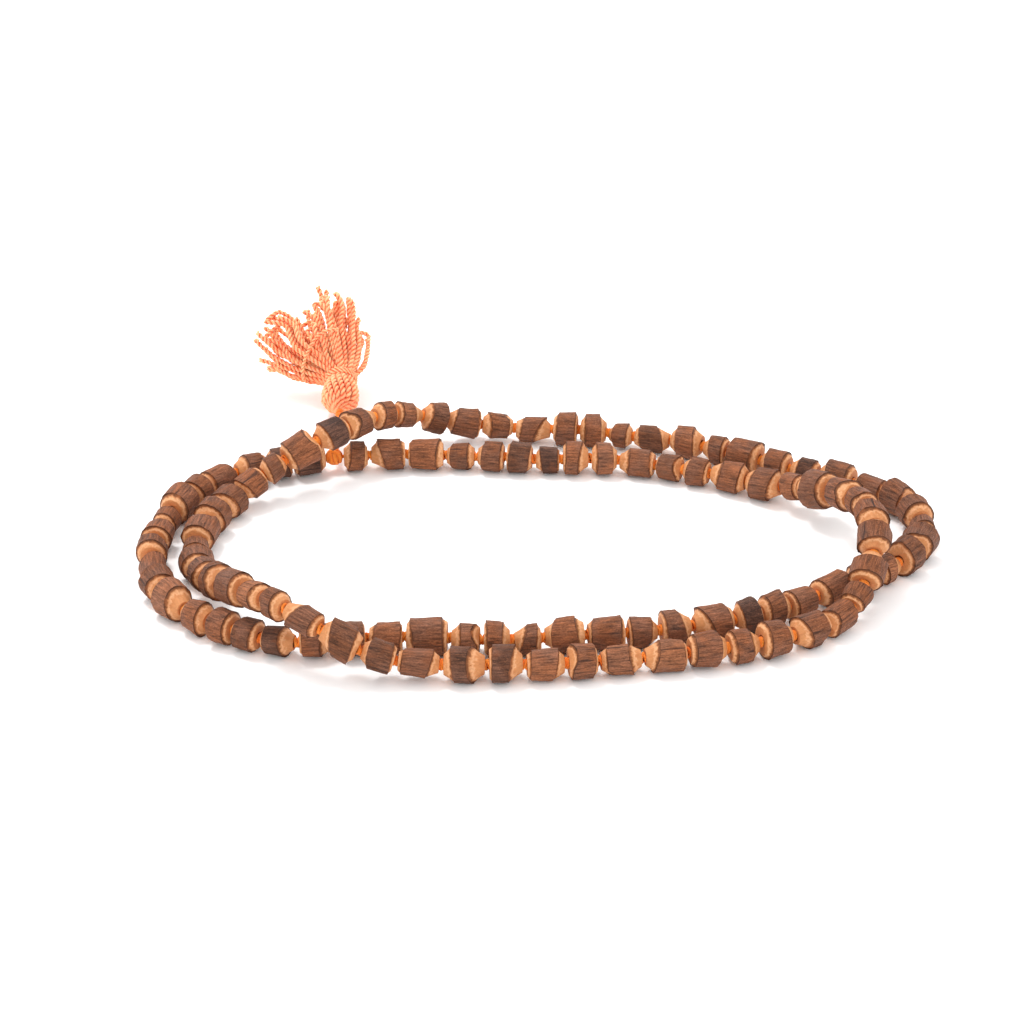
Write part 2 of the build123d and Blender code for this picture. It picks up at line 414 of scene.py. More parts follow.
def lie_of(solid):
    """A turned solid's middle, axis, length, radius and its turn along the thread."""
    facing = {}
    for face in solid:
        normal = face.normal
        side = normal if normal.dot(HALF_WAY) > 0 else -normal
        key = tuple(round(part, 2) for part in side)
        area, _ = facing.get(key, (0.0, side))
        facing[key] = (area + face.calc_area(), side.copy())
    axis = max(facing.values(), key=lambda entry: entry[0])[1]
    corners = {vertex.index: vertex.co for face in solid for vertex in face.verts}.values()
    rough_middle = sum(corners, Vector()) / len(corners)
    _, turn, _ = nearest_on_thread.find(rough_middle)
    last = len(thread_points) - 1
    ahead = thread_points[min(turn + 1, last)] - thread_points[max(turn - 1, 0)]
    if axis.dot(ahead) < 0:
        axis = -axis
    along = [(corner - rough_middle).dot(axis) for corner in corners]
    middle = rough_middle + axis * (max(along) + min(along)) / 2
    radius = max((corner - middle).cross(axis).length for corner in corners)
    return middle, axis, max(along) - min(along), radius, turn


def lies_in(name):
    """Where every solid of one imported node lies."""
    work, solids = solids_of(name)
    lies = [lie_of(solid) for solid in solids]
    work.free()
    return sorted(lies, key=lambda lie: lie[4])


bead_nodes = [name for name in frame["nodes"] if name.startswith("bead")]
bead_lies = {name: lies_in(name) for name in bead_nodes}
knot_lies = lies_in("spacer_knots")
all_beads = sorted((lie for lies in bead_lies.values() for lie in lies), key=lambda lie: lie[4])
mean_length = sum(lie[2] for lie in all_beads) / len(all_beads)
print(len(all_beads), "beads and", len(knot_lies), "knots")
print("mean bead", round(mean_length / MM, 2), "mm long")

# %% [markdown]
# ## Stem wood
# Each bead shows three materials at once: rough brown bark, a thin tawny layer just under it, and
# pale wood where the knife has cut. Painting them as three separate faces would give edges that
# are too clean, so one finish reads how deep below the bark a point is and picks the layer. Every
# bead stores its own plain shape for this, in mm from its bore, with the grain along z. It also
# stores a tone of its own, from 0 for a dark stem to 1 for a pale one.

# %% Where a point is in its bead, and the patterns that run through it
BEAD_RADIUS = 3.85 * MM
BEAD_LENGTH = 7.0 * MM

stem_finish, tree, shader = new_finish("stem_wood_finish")
stem = node(tree, "ShaderNodeAttribute", attribute_name="stem").outputs["Vector"]
tone = node(tree, "ShaderNodeAttribute", attribute_name="tone").outputs["Fac"]
from_bore = node(tree, "ShaderNodeVectorMath", {0: stem, 1: (1.0, 1.0, 0.0)}, operation="MULTIPLY")
radius_here = node(tree, "ShaderNodeVectorMath", {0: from_bore.outputs[0]}, operation="LENGTH")
depth = sums(tree, "SUBTRACT", BEAD_RADIUS / MM, radius_here.outputs["Value"])
shift = sums(tree, "MULTIPLY", tone, 173.0)
offset = node(tree, "ShaderNodeCombineXYZ", {0: shift, 1: shift, 2: shift}).outputs[0]
grain = node(tree, "ShaderNodeVectorMath", {0: stem, 1: offset}, operation="ADD").outputs[0]

long_grain = stretched(tree, grain, (1.0, 1.0, 0.13))
ridges = noise(tree, long_grain, 2.3, 5.0, 0.65)
fine = noise(tree, stretched(tree, grain, (1.0, 1.0, 0.45)), 5.5, 4.0, 0.7)
patches = noise(tree, grain, 0.28, 2.0)
print("bead patterns ready")

# %% Bark
GREY_BARK = paint(112, 76, 60)
RUBBED_BARK = paint(128, 70, 38)
# Colour of the painted highlight glints on the bark.
PAINTED_BARK_GLINT = paint(186, 128, 86)
BARK_CRACK = paint(42, 24, 19)

bark_tone = ramp(tree, tone, [
    (0.00, paint(68, 43, 34)),
    (0.12, paint(84, 50, 33)),
    (0.40, paint(110, 64, 38)),
    (0.75, paint(130, 76, 46)),
    (1.00, paint(152, 96, 64)),
])
streaks = between(tree, ridges, 0.33, 0.65, 0.36, 1.50)
specks = between(tree, fine, 0.32, 0.68, 0.56, 1.42)
bark_light = sums(tree, "MULTIPLY", streaks, specks)
weather = between(tree, noise(tree, grain, 0.17, 2.0), 0.42, 0.62, 0.0, 0.55)
bark_grey = mix(tree, weather, bark_tone, GREY_BARK)
bark_shade = scaled(tree, bark_grey, bark_light)
rubbed = between(tree, patches, 0.56, 0.72, 0.0, 0.45)
bark_rubbed = mix(tree, rubbed, bark_shade, RUBBED_BARK)
# Painted highlight: pale glints laid on the bark where the fine pattern peaks.
painted_glints = between(tree, fine, 0.62, 0.74, 0.0, 0.65)
bark_and_painted_glints = mix(tree, painted_glints, bark_rubbed, PAINTED_BARK_GLINT)
crack_line = noise(tree, stretched(tree, grain, (1.0, 1.0, 0.07)), 0.9, 3.0, 0.5)
cracks = between(tree, crack_line, 0.30, 0.345, 0.75, 0.0)
bark = mix(tree, cracks, bark_and_painted_glints, BARK_CRACK)
print("bark ready")

# %% Cut wood, from the inner bark inwards
STAINED_WOOD = paint(168, 98, 56)
WOOD_PIT = paint(96, 54, 28)

cut_noise = between(tree, noise(tree, grain, 1.1), 0.3, 0.7, 0.75, 1.35)
cut_depth = sums(tree, "MULTIPLY", depth, cut_noise)
layers = ramp(tree, sums(tree, "MULTIPLY", cut_depth, 0.8), [
    (0.00, paint(60, 34, 21)),
    (0.12, paint(74, 43, 25)),
    (0.24, paint(104, 61, 35)),
    (0.42, paint(132, 79, 45)),
    (0.52, paint(190, 128, 82)),
    (0.72, paint(218, 162, 118)),
    (1.00, paint(196, 132, 84)),
])
fibres = between(tree, ridges, 0.32, 0.66, 0.84, 1.08)
stain = between(tree, noise(tree, grain, 0.55, 3.0), 0.52, 0.74, 0.0, 0.60)
wood_shade = scaled(tree, layers, fibres)
wood_stained = mix(tree, stain, wood_shade, STAINED_WOOD)
pits = between(tree, noise(tree, grain, 3.4, 2.0), 0.70, 0.78, 0.0, 0.7)
wood = mix(tree, pits, wood_stained, WOOD_PIT)
print("cut wood ready")

# %% Bark or wood at each point, and its relief
is_cut = between(tree, cut_depth, 0.012, 0.030)
ridge_height = sums(tree, "MULTIPLY", ridges, 0.7)
bark_height = sums(tree, "ADD", ridge_height, sums(tree, "MULTIPLY", fine, 0.45))
wood_height = sums(tree, "MULTIPLY", bark_height, 0.30)
cut_drop = sums(tree, "SUBTRACT", wood_height, bark_height)
height = sums(tree, "ADD", bark_height, sums(tree, "MULTIPLY", is_cut, cut_drop))
bump = node(tree, "ShaderNodeBump", {"Strength": 0.95, "Distance": 0.00038, "Height": height})
set_sockets(tree, shader, {
    "Base Color": mix(tree, is_cut, bark, wood),
    "Roughness": between(tree, fine, 0.3, 0.7, 0.72, 0.52),
    "Normal": bump.outputs[0],
    "Specular IOR Level": 0.22,
})
print("stem-wood finish with", len(tree.nodes), "nodes")

# %% [markdown]
# ## The bead kinds
# The maker saws a stem into short lengths and trims each end with a knife, seldom quite square. So
# a bead starts as a cylinder, each end is cut off by a slanting plane, and the cut face is drawn
# in step by step to a level tip, like a blunt pencil. The two tips are then opened and joined by
# the bore. On four kinds the knife has also taken a slice off one shoulder. Twelve kinds are
# enough: each copy is later roughened, tapered, turned and stretched, so no two beads look alike.

# %% Selecting in edit mode
SIDES = 56


def start_fresh(*pieces):
    """Select only these pieces, the first one active, so an operator touches nothing else."""
    bpy.ops.object.select_all(action="DESELECT")
    for piece in pieces:
        piece.select_set(True)
    if pieces:
        bpy.context.view_layer.objects.active = pieces[0]


def pick(kind, wanted):
    """In edit mode, select just the faces or edges that pass a test."""
    bpy.ops.mesh.select_mode(type=kind)
    bpy.ops.mesh.select_all(action="DESELECT")
    mesh = bpy.context.edit_object.data
    shape = bmesh.from_edit_mesh(mesh)
    for part in shape.faces if kind == "FACE" else shape.edges:
        if wanted(part):
            part.select_set(True)
    bmesh.update_edit_mesh(mesh)


print("a bead has", SIDES, "sides")

# %% Trimming one end
BORE_RADIUS = 1.2 * MM
BARK_THICKNESS = 0.3 * MM
CONE_STEPS = 3
STEP_LEVEL = 0.55


def slope_of(side, slant, turn):
    """The way a sawn face looks: along the bore, leaned over by its slant, then turned."""
    return Matrix.Rotation(turn, 3, "Z") @ Vector((math.sin(slant), 0.0, side * math.cos(slant)))


def trim_end(side, cone, tip_share, slant, turn):
    """Draw one sawn face in to a level tip, in steps, then round its rim and start its bore."""
    slope = slope_of(side, slant, turn)
    pick("FACE", lambda face: len(face.verts) == SIDES and face.normal.dot(slope) > 0.99)
    bpy.ops.mesh.inset(thickness=BARK_THICKNESS * 0.35, depth=0.0)
    bpy.ops.mesh.inset(thickness=BARK_THICKNESS * 0.65, depth=0.06 * MM)
    bare = BEAD_RADIUS - BARK_THICKNESS
    shrink = (tip_share * BEAD_RADIUS / bare) ** (1 / CONE_STEPS)
    height = side * (BEAD_LENGTH / 2 - cone)
    for step in range(CONE_STEPS):
        flatten = STEP_LEVEL if step < CONE_STEPS - 1 else 0.0
        bpy.ops.mesh.extrude_region_move()
        bpy.ops.transform.resize(value=(shrink, shrink, flatten), center_override=(0, 0, height))
        bpy.ops.transform.translate(value=(0.0, 0.0, side * cone / CONE_STEPS))
        height += side * cone / CONE_STEPS
    rim = tip_share * BEAD_RADIUS - BORE_RADIUS
    bpy.ops.mesh.inset(thickness=rim * 0.4, depth=0.04 * MM)
    bpy.ops.mesh.inset(thickness=rim * 0.6, depth=-0.10 * MM)


print("bore", round(BORE_RADIUS * 2 / MM, 1), "mm wide")

# %% Cutting one kind of bead
LONG_CUTS = 11


def cut_bead(name, ends, slice_off):
    """One kind of bead, bored along z, with its ends trimmed and perhaps a shoulder sliced."""
    start_fresh()
    bpy.ops.mesh.primitive_cylinder_add(
        vertices=SIDES, radius=BEAD_RADIUS, depth=BEAD_LENGTH * 1.5, end_fill_type="NGON"
    )
    bead = bpy.context.object
    bead.name = name
    bpy.ops.object.mode_set(mode="EDIT")
    for side, (cone, _, slant, turn) in zip((1, -1), ends):
        bpy.ops.mesh.select_all(action="SELECT")
        bpy.ops.mesh.bisect(
            plane_co=(0.0, 0.0, side * (BEAD_LENGTH / 2 - cone)),
            plane_no=slope_of(side, slant, turn),
            use_fill=True,
            clear_outer=True,
        )
    pick("EDGE", lambda edge: abs(edge.verts[0].co.z - edge.verts[1].co.z) > 2 * MM)
    bpy.ops.mesh.subdivide(number_cuts=LONG_CUTS)
    for side, (cone, tip_share, slant, turn) in zip((1, -1), ends):
        trim_end(side, cone, tip_share, slant, turn)
    pick("FACE", lambda face: len(face.verts) == SIDES)
    bpy.ops.mesh.delete(type="ONLY_FACE")
    pick("EDGE", lambda edge: edge.is_boundary)
    bpy.ops.mesh.bridge_edge_loops()
    if slice_off:
        place, slope = slice_off
        bpy.ops.mesh.select_all(action="SELECT")
        bpy.ops.mesh.bisect(plane_co=place, plane_no=slope, use_fill=True, clear_outer=True)
    bpy.ops.mesh.select_all(action="SELECT")
    bpy.ops.mesh.normals_make_consistent(inside=False)
    bpy.ops.object.mode_set(mode="OBJECT")
    bark_group = bead.vertex_groups.new(name="bark")
    on_bark = [v.index for v in bead.data.vertices if v.co.xy.length > BEAD_RADIUS * 0.999]
    bark_group.add(on_bark, 1.0, "REPLACE")
    return bead


print("each bead's side has", LONG_CUTS + 1, "rows of faces")

# %% Twelve kinds
def end_cut(cone, tip_share, slant, turn):
    """One knife-cut end: cone length in mm, tip share of the radius, slant and turn in degrees."""
    return cone * MM, tip_share, math.radians(slant), math.radians(turn)


def knife_slice(out, along, slope):
    """A flat slice off one shoulder, out and along from the middle in mm, leaning outwards."""
    lean = math.radians(slope)
    return (out * MM, 0.0, along * MM), (math.cos(lean), 0.0, math.sin(lean))


KINDS = [
    ((end_cut(0.8, 0.72, 4, 0), end_cut(1.7, 0.54, 9, 120)), None),
    ((end_cut(0.7, 0.76, 5, 40), end_cut(2.2, 0.48, 15, 200)), None),
    ((end_cut(2.1, 0.50, 16, 70), end_cut(0.7, 0.74, 4, 310)), None),
    ((end_cut(0.6, 0.80, 2, 15), end_cut(1.6, 0.56, 10, 250)), None),
    ((end_cut(2.2, 0.50, 20, 160), end_cut(1.2, 0.64, 8, 20)), None),
    ((end_cut(1.0, 0.68, 9, 95), end_cut(0.7, 0.76, 5, 230)), None),
    ((end_cut(1.5, 0.58, 6, 180), end_cut(2.1, 0.50, 18, 300)), None),
    ((end_cut(1.8, 0.54, 14, 210), end_cut(1.2, 0.62, 11, 30)), None),
    ((end_cut(0.8, 0.74, 5, 90), end_cut(1.8, 0.52, 8, 140)), knife_slice(3.1, 2.3, 40)),
    ((end_cut(1.9, 0.52, 11, 330), end_cut(0.7, 0.74, 4, 60)), knife_slice(2.8, -2.4, -44)),
    ((end_cut(1.3, 0.60, 8, 260), end_cut(1.6, 0.56, 12, 100)), knife_slice(3.0, 2.5, 32)),
    ((end_cut(0.7, 0.76, 3, 10), end_cut(1.0, 0.70, 7, 190)), knife_slice(3.2, 2.0, 52)),
]
kinds = [cut_bead(f"bead_kind_{place + 1}", ends, cut) for place, (ends, cut) in enumerate(KINDS)]
for kind in kinds:
    size = tuple(round(side / MM, 2) for side in kind.dimensions)
    print(kind.name, len(kind.data.vertices), "corners", size, "mm")

# %% [markdown]
# ## 108 beads
# Stems swell, dent and wrinkle, so each copy is roughened by two displacements of its own: soft
# lumps, and furrows stretched along the grain. Both are held to the bark by a vertex group, which
# leaves the knife cuts crisp. An empty guides the pattern, and moving it gives the next bead a
# fresh piece of bark. Stems also thin towards one end, so a deformer tapers the bead a little. It
# is then stretched to the real one's size and laid in its place, a trace longer than the plain
# bead, so that its tips sit snug against the knots.

# %% Bark roughness
LUMP_HEIGHT = 0.62 * MM
LUMP_LEVEL = 0.55
FURROW_HEIGHT = 0.34 * MM
FURROW_LEVEL = 0.54
GRAIN_STRETCH = 3.5

lumps = bpy.data.textures.new("stem_lumps", "CLOUDS")
lumps.noise_scale = 2.6
lumps.noise_depth = 1
furrows = bpy.data.textures.new("bark_furrows", "CLOUDS")
furrows.noise_scale = 0.75
furrows.noise_depth = 2
guide = add_object("grain_guide", None)


def roughen(bead, texture, height, level):
    """Push a bead's bark in and out by a pattern laid along its grain."""
    push = bead.modifiers.new(texture.name, "DISPLACE")
    push.texture = texture
    push.texture_coords = "OBJECT"
    push.texture_coords_object = guide
    push.strength = height
    push.mid_level = level
    push.vertex_group = "bark"
    bpy.ops.object.modifier_apply(modifier=push.name)


def taper_bead(bead, taper):
    """Make a bead wider at one end of its bore and thinner at the other."""
    narrow = bead.modifiers.new("stem_taper", "SIMPLE_DEFORM")
    narrow.deform_method = "TAPER"
    narrow.deform_axis = "Z"
    narrow.factor = taper
    bpy.ops.object.modifier_apply(modifier=narrow.name)


print("lumps range over", round(LUMP_HEIGHT / MM, 2), "mm")

# %% Laying one bead
MOST_TAPER = 0.22
TAPER_SHRINK = 0.3
SNUG = 0.3 * MM


def laid_at(middle, axis):
    """The move that stands a shape's own z axis along another axis, at a place."""
    return Matrix.Translation(middle) @ axis.to_track_quat("Z", "Y").to_matrix().to_4x4()


def lay_bead(name, lie, kind, tone):
    """A copy of one kind of bead, roughened, stretched to size and laid on the thread."""
    middle, axis, length, radius, _ = lie
    bead = add_object(name, kind.data.copy())
    start_fresh(bead)
    # The copied mesh keeps its weights, but the group's name belongs to the object.
    bead.vertex_groups.new(name="bark")
    stem = bead.data.attributes.new("stem", "FLOAT_VECTOR", "POINT")
    stem.data.foreach_set("vector", [part / MM for v in bead.data.vertices for part in v.co])
    tones = bead.data.attributes.new("tone", "FLOAT", "POINT")
    tones.data.foreach_set("value", [tone] * len(bead.data.vertices))
    fresh_bark = Matrix.Translation([draws.uniform(-1, 1) for _ in range(3)])
    guide.matrix_world = fresh_bark @ Matrix.Diagonal((MM, MM, GRAIN_STRETCH * MM, 1.0))
    bpy.context.view_layer.update()
    roughen(bead, lumps, LUMP_HEIGHT, LUMP_LEVEL)
    roughen(bead, furrows, FURROW_HEIGHT, FURROW_LEVEL)
    taper = draws.uniform(-MOST_TAPER, MOST_TAPER)
    taper_bead(bead, taper)
    # The wide end has grown, so the whole bead is drawn in a little.
    thinner = radius * (1.0 - abs(taper) * TAPER_SHRINK) / BEAD_RADIUS
    longer = (length + SNUG) / BEAD_LENGTH
    turn = Matrix.Rotation(draws.uniform(0, 2 * math.pi), 4, "Z")
    size = Matrix.Diagonal((thinner, thinner, longer, 1.0))
    bead.data.transform(laid_at(middle, axis) @ turn @ size)
    bead.data.materials.append(stem_finish)
    return bead


def join_as(name, pieces):
    """Join several pieces into one with this name."""
    start_fresh(*pieces)
    if len(pieces) > 1:
        bpy.ops.object.join()
    pieces[0].name = name
    return pieces[0]


print("a snug fit adds", round(SNUG / MM, 1), "mm to each bead")

# %% Lay the beads
DARK_BEADS = {6: 0.06, 50: 0.02, 66: 0.10, 79: 0.05, 92: 0.12, 107: 0.04}
SHARP_EDGE = math.radians(32)
order = {lie[4]: place for place, lie in enumerate(all_beads)}
count = 0
for name in bead_nodes:
    laid = []
    for lie in bead_lies[name]:
        place = order[lie[4]]
        tone = DARK_BEADS.get(place, draws.betavariate(3.6, 2.2))
        laid.append(lay_bead(f"{name}_look", lie, draws.choice(kinds), tone))
    look = join_as(f"{name}_look", laid)
    bpy.ops.object.shade_smooth_by_angle(angle=SHARP_EDGE)
    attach(look, name if name in frame["bodies"] else "root")
    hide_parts(name)
    count += len(look.data.polygons)
for kind in kinds:
    bpy.data.objects.remove(kind)
bpy.data.objects.remove(guide)
print(len(all_beads), "beads with", count, "faces")

# %% [markdown]
# ## Spacer knots
# Between beads the thread is tied over itself, so that each bead sits apart and turns freely. The
# knot seen from outside is two or three wraps of thread, slightly crossed. Tied knots modelled
# strand by strand would cost far more than they show, so one master of three crossed rings is
# made, and copied to each knot's place along the thread. A ring above or below the middle is drawn
# in, so that all of them lie on one ball.

# %% Rings of thread
RING_TURN = 2.1
SIDE_LEAN = 0.6


def wrap_rings(name, radius, thickness, wraps, sides):
    """Rings of thread round the z axis, each at its own height in mm and lean in degrees."""
    start_fresh()
    rings = []
    for place, (height, lean) in enumerate(wraps):
        bpy.ops.mesh.primitive_torus_add(
            major_segments=sides[0],
            minor_segments=sides[1],
            major_radius=math.sqrt(radius**2 - (height * MM) ** 2),
            minor_radius=thickness,
            location=(0.0, 0.0, height * MM),
            rotation=(math.radians(lean), math.radians(lean * SIDE_LEAN), place * RING_TURN),
        )
        rings.append(bpy.context.object)
    start_fresh(*reversed(rings))
    bpy.ops.object.join()
    bpy.ops.object.transform_apply(location=True, rotation=True, scale=True)
    bpy.ops.object.shade_smooth()
    bpy.context.object.name = name
    return bpy.context.object


print("rings are", RING_TURN, "radians apart")

# %% One knot, copied to each gap
KNOT_RADIUS = 1.02 * MM
KNOT_THREAD = 0.35 * MM
KNOT_WRAPS = ((-0.40, 13.0), (0.40, -12.0), (0.0, 27.0))
SMALL_RING = (18, 8)

knot_master = wrap_rings("knot_master", KNOT_RADIUS, KNOT_THREAD, KNOT_WRAPS, SMALL_RING)
knots = []
for place, (middle, axis, _, _, _) in enumerate(knot_lies):
    knot = add_object(f"knot_{place}", knot_master.data.copy())
    turn = Matrix.Rotation(draws.uniform(0, 2 * math.pi), 4, "Z")
    knot.data.transform(laid_at(middle, axis) @ turn)
    knots.append(knot)
bpy.data.objects.remove(knot_master)
knot_look = join_as("spacer_knots_look", knots)
knot_look.data.materials.append(thread_finish)
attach(knot_look, "root")
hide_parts("spacer_knots")
print(len(knots), "knots with", len(knot_look.data.polygons), "faces")

# %% [markdown]
# ## Closing knot
# Where the thread ends meet, they are wrapped round each other several times and pulled down into
# a small ball, with the cut ends left short. Rings of thread at crossing angles over a core give
# the ball its ribs. The rings are the same kind of piece as in the small knots, only larger.

# %% Closing knot
ball_low, ball_high = (Vector(corner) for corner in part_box("closing_knot"))
ball_place = (ball_low + ball_high) / 2
ball_radius = (ball_high.x - ball_low.x) / 2
BALL_THREAD = 0.43 * MM
OVER_THREAD = 0.42 * MM
BALL_WRAPS = ((-1.25, 12.0), (-0.42, -9.0), (0.42, 10.0), (1.25, -12.0))
OVER_WRAPS = ((0.1, 8.0), (0.5, -34.0))
LARGE_RING = (28, 10)
CORE_SHARE = 0.76

wraps_out = ball_radius - 0.44 * MM
ball = wrap_rings("closing_knot_look", wraps_out, BALL_THREAD, BALL_WRAPS, LARGE_RING)
ball.data.transform(Matrix.Rotation(math.pi / 2, 4, "Y"))
over = wrap_rings("ball_over", ball_radius - OVER_THREAD, OVER_THREAD, OVER_WRAPS, LARGE_RING)
over.data.transform(Matrix.Rotation(math.radians(70), 4, "X"))
start_fresh()
bpy.ops.mesh.primitive_ico_sphere_add(subdivisions=3, radius=ball_radius * CORE_SHARE)
core = bpy.context.object
ball = join_as("closing_knot_look", [ball, over, core])
ball.data.transform(Matrix.Translation(ball_place))
bpy.ops.object.shade_smooth()
ball.data.materials.append(thread_finish)
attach(ball, "root")
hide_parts("closing_knot")
print("closing knot", round(ball_radius * 2 / MM, 2), "mm across")

# %% [markdown]
# ## Two-ply yarn
# Cotton yarn is two plies twisted round each other, and the slanting ridges that this makes are
# what the eye reads as yarn. A texture of slanted lines would lie flat and stop at the outline. So
# every yarn here is two real tubes that wind round one smooth line. The line is a NURBS curve
# with a few places as its controls, and the tubes follow points read from it. Each corner of the
# finished mesh is then marked by how far it stands out from its yarn's middle, for the painted
# highlight on the crowns and the painted shade between them.

# %% Lines for the plies
PLY_REACH = 0.235
PLY_RADIUS = 0.29
OPEN_LENGTH = 3.0 * MM


def even_points(points, step):
    """The same line, with its points evenly spaced."""
    even = [points[0]]
    carried = 0.0
    for start, end in zip(points, points[1:]):
        run = (end - start).length
        while run > 0 and carried + run >= step:
            start = start + (end - start) * ((step - carried) / run)
            run = (end - start).length
            even.append(start)
            carried = 0.0
        carried += run
    return even


def plies(points, yarn_width, pitch, phase, open_end):
    """Two lines that wind round the given one, and open a little towards its end."""
    side = Vector((0.0, 0.0, 1.0)).cross(points[1] - points[0])
    side = side.normalized() if side.length > 1e-9 else Vector((1.0, 0.0, 0.0))
    step = (points[1] - points[0]).length
    wound = ([], [])
    for place, point in enumerate(points):
        ahead = (points[min(place + 1, len(points) - 1)] - points[max(place - 1, 0)]).normalized()
        side = (side - ahead * side.dot(ahead)).normalized()
        other = ahead.cross(side)
        to_end = max(0.0, 1 - (len(points) - 1 - place) * step / OPEN_LENGTH)
        reach = yarn_width * PLY_REACH * (1 + open_end * to_end)
        angle = phase + 2 * math.pi * place * step / pitch
        for ply in (0, 1):
            out = side * math.cos(angle + ply * math.pi) + other * math.sin(angle + ply * math.pi)
            wound[ply].append(point + out * reach)
    return wound


print("a ply is", PLY_RADIUS * 2, "of its yarn's width")

# %% Yarn maker
CROWN_FROM = 0.24
CROWN_SPAN = 0.28
TIP_POINTS = 3


def mark_painted_ply_light(piece, yarns):
    """Store how far each corner is from its yarn's middle, for painted shade and highlight: 0
    inside, 1 on a crown or a tip.
    """
    middles = [
        (point, width, place > len(points) - TIP_POINTS)
        for points, width, _, _ in yarns
        for place, point in enumerate(points)
    ]
    nearest = KDTree(len(middles))
    for place, (point, _, _) in enumerate(middles):
        nearest.insert(point, place)
    nearest.balance()
    # Painted light: the yarn finish paints shade where this is low and a highlight where it is high.
    painted_ply_light = piece.data.attributes.new("painted_ply_light", "FLOAT", "POINT")
    for mark, vertex in zip(painted_ply_light.data, piece.data.vertices):
        _, place, away = nearest.find(vertex.co)
        _, width, is_tip = middles[place]
        stands_out = min(1.0, max(0.0, (away / width - CROWN_FROM) / CROWN_SPAN))
        mark.value = 1.0 if is_tip else stands_out


def yarn_piece(name, yarns, finish):
    """One mesh of all these yarns: each is (points, width, pitch, opening at its end)."""
    curve = bpy.data.curves.new(name, "CURVE")
    curve.dimensions = "3D"
    curve.bevel_depth = 1.0
    curve.bevel_resolution = 1
    curve.use_fill_caps = True
    for points, width, pitch, opening in yarns:
        for line in plies(points, width, pitch, draws.uniform(0, 6.28), opening):
            spline = curve.splines.new("POLY")
            spline.points.add(len(line) - 1)
            for point, place in zip(spline.points, line):
                point.co = (*place, 1.0)
                point.radius = width * PLY_RADIUS
    maker = add_object(name, curve)
    start_fresh(maker)
    bpy.ops.object.convert(target="MESH")
    piece = bpy.context.view_layer.objects.active
    bpy.ops.object.shade_smooth()
    piece.data.materials.append(finish)
    mark_painted_ply_light(piece, yarns)
    return piece


def yarn_line(places, step=0.35 * MM):
    """Evenly spaced points along a smooth line that a few places guide."""
    line = nurbs_line("yarn_line", places, 10)
    points = even_points(points_along(line), step)
    bpy.data.objects.remove(line)
    return points


print("tips are the last", TIP_POINTS - 1, "points of a yarn")

# %% [markdown]
# ## Neck
# The doubled thread leaves the closing knot and is looped through the top of the tassel. It turns
# with the joint at the knot, so it rides on its own body. It runs on to the tassel's own pivot,
# where the folded yarns close over it, so the two stay together however the tassel is lifted.

# %% Neck
neck_low, neck_high = (Vector(corner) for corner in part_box("tassel_neck"))
neck_width = neck_high.x - neck_low.x
lift = next(joint for joint in frame["joints"] if joint["name"] == "tassel_lift")
pivot = Vector(lift["pos_m"])
NECK_PITCH = 4.2 * MM
NECK_SWAY = Vector((0.35 * MM, 0.0, -0.2 * MM))
neck_from = Vector((pivot.x, neck_low.y - 1.2 * MM, pivot.z))
neck_to = pivot + Vector((0.0, 1.0 * MM, 0.0))
neck_places = [
    neck_from,
    neck_from.lerp(neck_to, 0.3) + NECK_SWAY,
    neck_from.lerp(neck_to, 0.6) - NECK_SWAY,
    neck_to,
]
neck_yarn = (yarn_line(neck_places), neck_width, NECK_PITCH, 0.0)
neck = yarn_piece("tassel_neck_look", [neck_yarn], thread_finish)
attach(neck, "neck")
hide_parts("tassel_neck")
print("neck", round((neck_to - neck_from).length / MM, 1), "mm long")

# %% [markdown]
# ## Tassel head
# A hank of yarn is hung over the neck thread, folded down round it and tied below, and the fold
# becomes a round head. Sixteen yarns run from the top over an egg-shaped core down to the binding,
# each winding a little round the head, as they do when fingers smooth them down. The egg is there
# only so that nothing shows through between the yarns. Two small rings are the fold that hangs on
# the neck thread.

# %% The head's own axes
head_middle, head_axis, head_length, head_radius, _ = lies_in("tassel_head")[0]
if head_axis.dot(head_middle - pivot) < 0:
    head_axis = -head_axis
head_base = head_middle - head_axis * head_length / 2
head_right = Vector((1.0, 0.0, 0.0))
head_up = head_right.cross(head_axis)


def on_head(along, out, angle):
    """A place near the head: along its axis and out from it in metres, at an angle round it."""
    return head_base + head_axis * along + (
        head_right * math.cos(angle) + head_up * math.sin(angle)
    ) * out


print("head", round(head_radius * 2 / MM, 1), "mm wide,", round(head_length / MM, 1), "mm long")

# %% Head yarns
HEAD_YARNS = 16
YARN_WIDTH = 1.5 * MM
HEAD_PITCH = 2.7 * MM
HEAD_TWIST = 0.55
# Each entry is a share of the head's length, and of its radius there.
HEAD_PROFILE = [
    (-0.13, 0.10), (0.04, 0.50), (0.18, 0.92), (0.50, 0.97),
    (0.80, 0.88), (1.02, 0.66), (1.20, 0.62),
]

head_yarns = []
for place in range(HEAD_YARNS):
    start_angle = 2 * math.pi * place / HEAD_YARNS + draws.uniform(-0.06, 0.06)
    swell = draws.uniform(0.94, 1.02)
    places = [
        on_head(along * head_length, out * head_radius * swell, start_angle + HEAD_TWIST * along)
        for along, out in HEAD_PROFILE
    ]
    head_yarns.append((yarn_line(places), YARN_WIDTH, HEAD_PITCH, 0.0))
head_look = yarn_piece("tassel_head_look", head_yarns, yarn_finish)
print(HEAD_YARNS, "yarns with", len(head_look.data.polygons), "faces")

# %% The egg inside and the fold on top
EGG_WIDE = 0.74
EGG_LONG = 0.52
FOLD_RADIUS = 1.15 * MM
FOLD_YARN = 0.55 * MM
FOLD_WRAPS = ((-0.5, 14.0), (0.45, -12.0))

